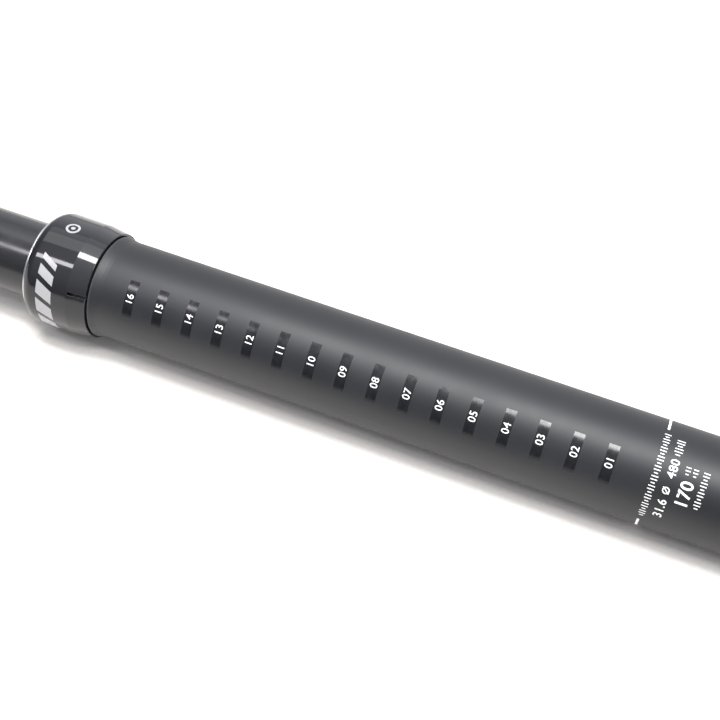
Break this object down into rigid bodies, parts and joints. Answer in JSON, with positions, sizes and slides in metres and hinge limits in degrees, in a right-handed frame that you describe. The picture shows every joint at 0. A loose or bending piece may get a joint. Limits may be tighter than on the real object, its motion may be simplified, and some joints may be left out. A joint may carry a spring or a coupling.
{
  "type": "dropper seatpost",
  "caption": "Telescoping bicycle seatpost with a numbered depth scale, a glossy collar, a gas cartridge inside, a tilting rail clamp and a cable lever at the foot.",
  "frame": {"origin": "on the post's axis where the 31.6 mm insertion diameter begins, just under the collar's flare", "axes": "+Z along the post toward the saddle, +X toward the front of the bicycle and along the saddle rails, -Y is the side that carries the depth scale"},
  "size_m": [0.054, 0.056, 0.497],
  "materials": {
    "matte_black_tube": "matte black anodised, bead blasted",
    "gloss_black_collar": "gloss black anodised, polished",
    "gloss_black_stanchion": "gloss black hard anodised, polished",
    "black_forged_clamp": "satin black anodised, forged",
    "grey_machined": "hard anodised grey, machined",
    "clear_machined": "clear anodised, machined",
    "steel": "zinc plated steel",
    "black_steel": "black oxide steel",
    "polished_rod": "ground and hard chromed",
    "brass": "machined brass",
    "black_rubber": "black nitrile",
    "blue_seal": "dark blue polyurethane",
    "grease_foam": "grease soaked open-cell foam",
    "bush_polymer": "self-lubricating polymer",
    "bush_metal": "metal-backed dry bearing"
  },
  "bodies": {
    "outer_post": {"outer_tube": "matte_black_tube", "collar": "gloss_black_collar", "collar_oring": "black_rubber", "wiper_seal": "black_rubber", "foam_ring": "grease_foam", "inner_seal": "blue_seal", "upper_bushing": "bush_metal", "actuator_base": "black_forged_clamp", "rod_nut": "steel", "cartridge_rod": "polished_rod", "main_piston": "clear_machined", "piston_seal": "blue_seal", "pivot_pin": "steel"},
    "inner_post": {"stanchion": "gloss_black_stanchion", "lower_bushing": "bush_polymer", "key_1": "brass", "key_2": "brass", "key_3": "brass", "topout_bumper": "black_rubber", "end_nut": "grey_machined", "cartridge_body": "grey_machined", "rod_gland": "brass", "cartridge_cap": "grey_machined", "fill_screw": "steel", "rattle_ring": "black_rubber"},
    "floating_piston": {"floating_piston": "clear_machined", "floating_piston_seal": "black_rubber"},
    "rail_clamp": {"lower_cradle": "black_forged_clamp", "upper_clamp": "black_forged_clamp"},
    "front_barrel_nut": {"front_barrel_nut": "steel"},
    "rear_barrel_nut": {"rear_barrel_nut": "steel"},
    "front_clamp_bolt": {"front_bolt": "black_steel", "front_washer": "steel"},
    "rear_clamp_bolt": {"rear_bolt": "black_steel", "rear_washer": "steel"},
    "actuator_lever": {"actuator_lever": "clear_machined"},
    "cable_barrel": {"cable_barrel": "brass", "cable_grub_screw": "black_steel"},
    "valve_pin": {"valve_pin": "polished_rod"}
  },
  "joints": [
    {"name": "stanchion_travel", "type": "slide", "parent": "outer_post", "child": "inner_post", "axis": [0, 0, 1], "range_m": [-0.17, 0], "stiffness_N_per_m": 400, "springref_m": 0.45},
    {"name": "floating_piston_travel", "type": "slide", "parent": "inner_post", "child": "floating_piston", "axis": [0, 0, 1], "range_m": [0, 0.038]},
    {"name": "saddle_tilt", "type": "hinge", "parent": "inner_post", "child": "rail_clamp", "pos_m": [0, 0, 0.2265], "axis": [0, 1, 0], "range_deg": [-8, 8]},
    {"name": "front_bolt_lean", "type": "hinge", "parent": "inner_post", "child": "front_clamp_bolt", "pos_m": [0.0185, 0, 0.203], "axis": [0, 1, 0], "range_deg": [-2.5, 2.5]},
    {"name": "rear_bolt_lean", "type": "hinge", "parent": "inner_post", "child": "rear_clamp_bolt", "pos_m": [-0.0185, 0, 0.203], "axis": [0, 1, 0], "range_deg": [-2.5, 2.5]},
    {"name": "front_nut_turn", "type": "hinge", "parent": "rail_clamp", "child": "front_barrel_nut", "pos_m": [0.0185, 0, 0.236], "axis": [0, 1, 0], "range_deg": [-6, 6]},
    {"name": "rear_nut_turn", "type": "hinge", "parent": "rail_clamp", "child": "rear_barrel_nut", "pos_m": [-0.0185, 0, 0.236], "axis": [0, 1, 0], "range_deg": [-6, 6]},
    {"name": "actuator_lever_turn", "type": "hinge", "parent": "outer_post", "child": "actuator_lever", "pos_m": [0.004, 0, -0.2405], "axis": [0, 1, 0], "range_deg": [0, 15.1]},
    {"name": "cable_barrel_turn", "type": "hinge", "parent": "actuator_lever", "child": "cable_barrel", "pos_m": [0.0096, 0, -0.2405], "axis": [0, 1, 0], "range_deg": [-15.1, 0.1]},
    {"name": "valve_pin_lift", "type": "slide", "parent": "outer_post", "child": "valve_pin", "axis": [0, 0, 1], "range_m": [0, 0.00105], "stiffness_N_per_m": 400, "springref_m": -0.02}
  ],
  "couplings": [
    {"joint": "floating_piston_travel", "follows": "stanchion_travel", "ratio": -0.22145},
    {"joint": "front_bolt_lean", "follows": "saddle_tilt", "ratio": 0.2879},
    {"joint": "rear_bolt_lean", "follows": "saddle_tilt", "ratio": 0.2879},
    {"joint": "front_nut_turn", "follows": "saddle_tilt", "ratio": -0.7121},
    {"joint": "rear_nut_turn", "follows": "saddle_tilt", "ratio": -0.7121},
    {"joint": "actuator_lever_turn", "follows": "valve_pin_lift", "rad_per_m": 250},
    {"joint": "cable_barrel_turn", "follows": "valve_pin_lift", "rad_per_m": -250}
  ]
}
